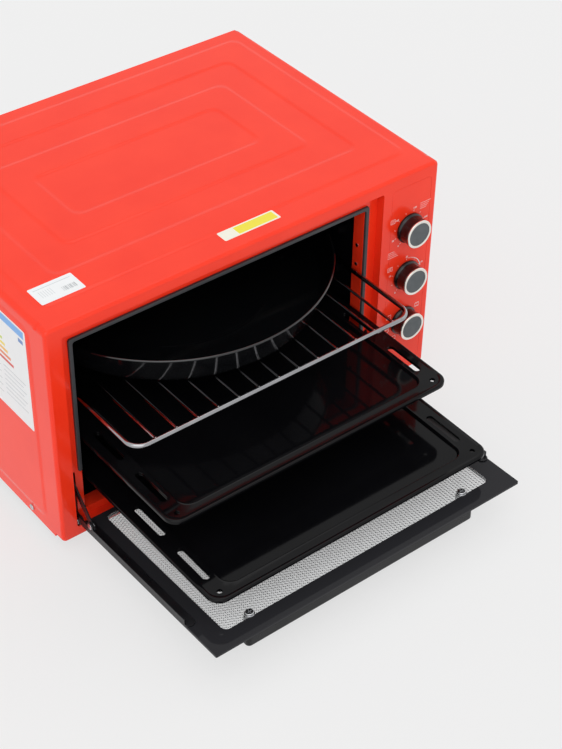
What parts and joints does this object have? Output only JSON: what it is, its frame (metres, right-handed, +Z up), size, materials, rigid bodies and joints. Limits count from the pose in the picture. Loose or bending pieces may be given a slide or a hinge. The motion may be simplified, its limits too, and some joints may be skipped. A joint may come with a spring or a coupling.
{
  "type": "mini oven",
  "caption": "Red countertop mini oven, glass door lowered, with black enamelled trays, a chrome wire rack and a round pan drawn out, and control knobs beside the door.",
  "frame": {"origin": "On the floor, under the middle of the overall box: door tip in front, cord gland behind.", "axes": "+Z up; +X to the right as seen from the front; the door and knobs face -Y."},
  "size_m": [0.5024, 0.6118, 0.299],
  "materials": {
    "red_enamel": "glossy red stoved enamel",
    "black_enamel": "glossy black vitreous enamel",
    "black_coat": "satin black paint",
    "zinc_sheet": "dull galvanised sheet",
    "chrome_wire": "bright chrome plating",
    "steel_screw": "bright zinc plated steel",
    "heater_tube": "dark heat-tinted steel tube",
    "ceramic": "off-white glazed ceramic",
    "clear_glass": "clear toughened glass with a black printed border and dots",
    "seal_rubber": "matt dark grey silicone",
    "foot_rubber": "matt black rubber",
    "fascia_print": "glossy red with fine white scale marks",
    "knob_black": "glossy black moulded plastic",
    "knob_ring": "bright silver ring",
    "knob_cap": "satin grey disc",
    "control_plastic": "cream moulded thermoset",
    "label_paper": "white paper label"
  },
  "bodies": {
    "casing": {"outer_shell": "red_enamel", "front_frame": "red_enamel", "back_panel": "zinc_sheet", "base_panel": "zinc_sheet", "control_fascia": "fascia_print", "door_gasket": "seal_rubber", "cavity_left_wall": "black_enamel", "cavity_right_wall": "black_enamel", "cavity_top_wall": "black_enamel", "cavity_bottom_wall": "black_enamel", "cavity_back_wall": "black_enamel", "upper_heater": "heater_tube", "lower_heater": "heater_tube", "heater_terminals": "ceramic", "control_bracket": "zinc_sheet", "control_nuts": "steel_screw", "thermostat_body": "control_plastic", "timer_body": "zinc_sheet", "selector_body": "control_plastic", "thermostat_bulb": "chrome_wire", "bulb_clips": "steel_screw", "cord_gland": "foot_rubber", "terminal_block": "control_plastic", "feet": "foot_rubber", "back_screws": "steel_screw", "side_screws": "steel_screw", "lip_screws": "steel_screw", "hinge_ear_left": "black_coat", "hinge_ear_right": "black_coat", "hinge_pins": "steel_screw", "side_label": "label_paper", "top_label_left": "label_paper", "top_label_front": "label_paper"},
    "door": {"door_glass": "clear_glass", "door_strap_left": "black_coat", "door_strap_right": "black_coat", "door_handle": "black_coat", "handle_posts": "black_coat", "handle_washers": "steel_screw", "handle_screws": "steel_screw", "arm_pins": "steel_screw"},
    "stay_arms": {"stay_arm_left": "black_coat", "stay_arm_right": "black_coat"},
    "rack": {"wire_rack": "chrome_wire", "round_pan": "black_enamel"},
    "tray_upper": {"upper_tray": "black_enamel"},
    "tray_lower": {"lower_tray": "black_enamel"},
    "thermostat_dial": {"thermostat_shaft": "steel_screw", "thermostat_knob": "knob_black", "thermostat_knob_ring": "knob_ring", "thermostat_knob_cap": "knob_cap"},
    "timer_dial": {"timer_shaft": "steel_screw", "timer_knob": "knob_black", "timer_knob_ring": "knob_ring", "timer_knob_cap": "knob_cap"},
    "selector_dial": {"selector_shaft": "steel_screw", "selector_knob": "knob_black", "selector_knob_ring": "knob_ring", "selector_knob_cap": "knob_cap"}
  },
  "joints": [
    {"name": "door_hinge", "type": "hinge", "parent": "casing", "child": "door", "pos_m": [-0.0295, -0.06255, 0.038], "axis": [-1, 0, 0], "range_deg": [0, 3.3]},
    {"name": "stay_arm_pivot", "type": "hinge", "parent": "door", "child": "stay_arms", "pos_m": [-0.0295, -0.08811, 0.04999], "axis": [-1, 0, 0], "range_deg": [-2.77, 0]},
    {"name": "rack_slide", "type": "slide", "parent": "casing", "child": "rack", "axis": [0, 1, 0], "range_m": [-0.06, 0.04]},
    {"name": "upper_tray_slide", "type": "slide", "parent": "casing", "child": "tray_upper", "axis": [0, 1, 0], "range_m": [-0.06, 0.164]},
    {"name": "lower_tray_slide", "type": "slide", "parent": "casing", "child": "tray_lower", "axis": [0, 1, 0], "range_m": [0, 0.233]},
    {"name": "thermostat_turn", "type": "hinge", "parent": "casing", "child": "thermostat_dial", "pos_m": [0.212, -0.08305, 0.226], "axis": [0, 1, 0], "range_deg": [0, 270]},
    {"name": "timer_turn", "type": "hinge", "parent": "casing", "child": "timer_dial", "pos_m": [0.212, -0.08305, 0.162], "axis": [0, 1, 0], "range_deg": [0, 300]},
    {"name": "selector_turn", "type": "hinge", "parent": "casing", "child": "selector_dial", "pos_m": [0.212, -0.08305, 0.098], "axis": [0, 1, 0], "range_deg": [0, 240]}
  ],
  "couplings": [
    {"joint": "stay_arm_pivot", "follows": "door_hinge", "ratio": -0.84}
  ]
}
